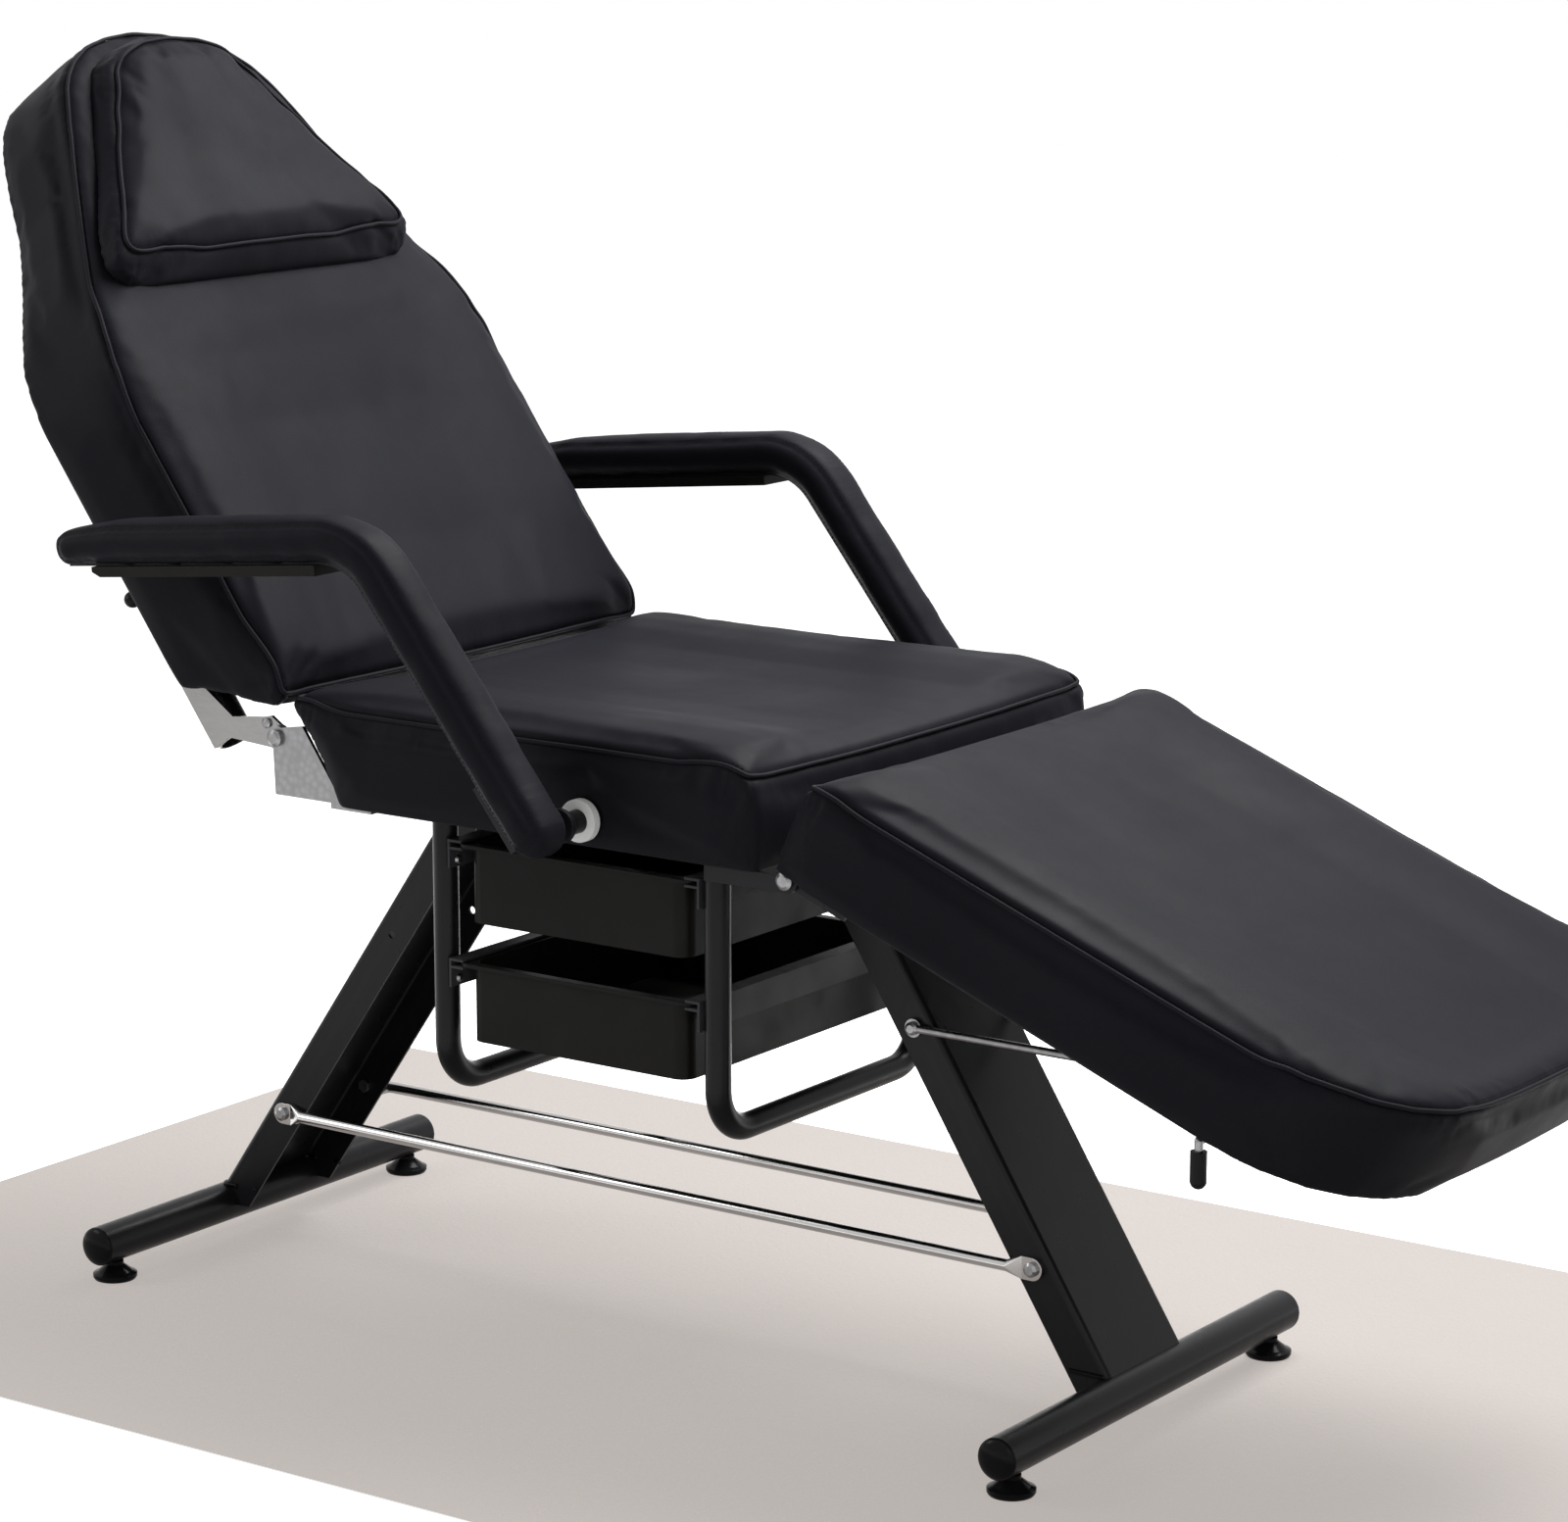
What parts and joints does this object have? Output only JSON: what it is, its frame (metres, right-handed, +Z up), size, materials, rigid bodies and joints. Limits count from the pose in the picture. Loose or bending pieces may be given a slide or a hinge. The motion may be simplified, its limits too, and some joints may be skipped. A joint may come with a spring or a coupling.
{
  "type": "beauty bed",
  "caption": "Padded salon bed on two slanted legs, with a reclining back, a folding leg rest, a head pillow, hinged arm rests and slide-out trays under the seat.",
  "frame": {"origin": "on the floor, under the middle of the bed's length and width", "axes": "+Z up, +X towards the foot end of the leg rest, +Y towards the far side, away from the side that the release lever is on"},
  "size_m": [1.7426, 0.772, 1.2556],
  "materials": {
    "leatherette": "black synthetic leather with a soft sheen",
    "black_paint": "glossy black powder coat",
    "chrome": "polished chrome",
    "zinc": "bright zinc plated steel",
    "plywood": "raw plywood",
    "black_plastic": "fine-grained black plastic",
    "runner_grey": "dark grey painted steel",
    "gloss_black": "glossy black plastic",
    "white_nylon": "white nylon"
  },
  "bodies": {
    "base": {"rear_leg_channel": "black_paint", "front_leg_channel": "black_paint", "rear_foot_tube": "black_paint", "front_foot_tube": "black_paint", "foot_tube_caps": "gloss_black", "tie_rod_near": "chrome", "tie_rod_far": "chrome", "tie_rod_bolts": "zinc", "seat_side_rails": "black_paint", "seat_cross_tubes": "black_paint", "seat_board": "plywood", "seat_cushion": "leatherette", "rear_tray_frame": "black_paint", "front_tray_frame": "black_paint", "upper_tray_runners": "runner_grey", "lower_tray_runners": "runner_grey", "runner_screws": "zinc", "back_hinge_plate_near": "zinc", "back_hinge_plate_far": "zinc", "leg_hinge_plate_near": "black_paint", "leg_hinge_plate_far": "black_paint", "hinge_bolts": "zinc", "ratchet_sector": "zinc", "arm_socket_near": "runner_grey", "arm_socket_far": "runner_grey", "arm_bush_near": "white_nylon", "arm_bush_far": "white_nylon", "prop_bolts": "zinc"},
    "back": {"back_board": "plywood", "back_cushion": "leatherette", "back_tube_near": "chrome", "back_tube_far": "chrome", "back_tube_clips": "zinc", "back_tab_bolts": "zinc", "back_lower_crossbar": "black_paint", "back_release_crossbar": "black_paint"},
    "pillow": {"head_pillow": "leatherette"},
    "back_release": {"release_shaft": "zinc", "release_pawl": "zinc", "release_knob": "gloss_black"},
    "leg_rest": {"leg_board": "plywood", "leg_cushion": "leatherette", "leg_rail_near": "black_paint", "leg_rail_far": "black_paint", "leg_racks": "zinc"},
    "prop": {"leg_prop": "zinc", "prop_grip": "gloss_black"},
    "arm_near": {"arm_frame_near": "black_paint", "arm_base_near": "black_plastic", "arm_pad_near": "leatherette"},
    "arm_far": {"arm_frame_far": "black_paint", "arm_base_far": "black_plastic", "arm_pad_far": "leatherette"},
    "tray_upper": {"upper_tray": "black_plastic"},
    "tray_lower": {"lower_tray": "black_plastic"},
    "foot_rear_near": {"level_foot_rear_near": "gloss_black"},
    "foot_rear_far": {"level_foot_rear_far": "gloss_black"},
    "foot_front_near": {"level_foot_front_near": "gloss_black"},
    "foot_front_far": {"level_foot_front_far": "gloss_black"}
  },
  "joints": [
    {"name": "back_hinge", "type": "hinge", "parent": "base", "child": "back", "pos_m": [-0.36344, 0, 0.602], "axis": [0, 1, 0], "range_deg": [-54, 0]},
    {"name": "pillow_lift", "type": "slide", "parent": "back", "child": "pillow", "axis": [0.809, 0, 0.5878], "range_m": [0, 0.08]},
    {"name": "back_release_lever", "type": "hinge", "parent": "back", "child": "back_release", "pos_m": [-0.54427, 0, 0.68075], "axis": [0, 1, 0], "range_deg": [0, 5], "stiffness_Nm_per_rad": 6, "springref_deg": -5.73},
    {"name": "leg_rest_hinge", "type": "hinge", "parent": "base", "child": "leg_rest", "pos_m": [0.23356, 0, 0.541], "axis": [0, 1, 0], "range_deg": [-21.4, 0]},
    {"name": "prop_hinge", "type": "hinge", "parent": "base", "child": "prop", "pos_m": [0.23422, 0, 0.361], "axis": [0, 1, 0], "range_deg": [-23.4, 0]},
    {"name": "arm_near_hinge", "type": "hinge", "parent": "base", "child": "arm_near", "pos_m": [0.01756, -0.3, 0.572], "axis": [0, 1, 0], "range_deg": [0, 115]},
    {"name": "arm_far_hinge", "type": "hinge", "parent": "base", "child": "arm_far", "pos_m": [0.01756, 0.3, 0.572], "axis": [0, 1, 0], "range_deg": [0, 115]},
    {"name": "upper_tray_slide", "type": "slide", "parent": "base", "child": "tray_upper", "axis": [0, -1, 0], "range_m": [0, 0.25]},
    {"name": "lower_tray_slide", "type": "slide", "parent": "base", "child": "tray_lower", "axis": [0, -1, 0], "range_m": [0, 0.25]},
    {"name": "level_rear_near_turn", "type": "hinge", "parent": "base", "child": "foot_rear_near", "pos_m": [-0.63566, -0.233, 0], "axis": [0, 0, 1], "continuous": true},
    {"name": "level_rear_far_turn", "type": "hinge", "parent": "base", "child": "foot_rear_far", "pos_m": [-0.63566, 0.233, 0], "axis": [0, 0, 1], "continuous": true},
    {"name": "level_front_near_turn", "type": "hinge", "parent": "base", "child": "foot_front_near", "pos_m": [0.45033, -0.233, 0], "axis": [0, 0, 1], "continuous": true},
    {"name": "level_front_far_turn", "type": "hinge", "parent": "base", "child": "foot_front_far", "pos_m": [0.45033, 0.233, 0], "axis": [0, 0, 1], "continuous": true}
  ],
  "couplings": [
    {"joint": "prop_hinge", "follows": "leg_rest_hinge", "ratio": 1.0906}
  ]
}
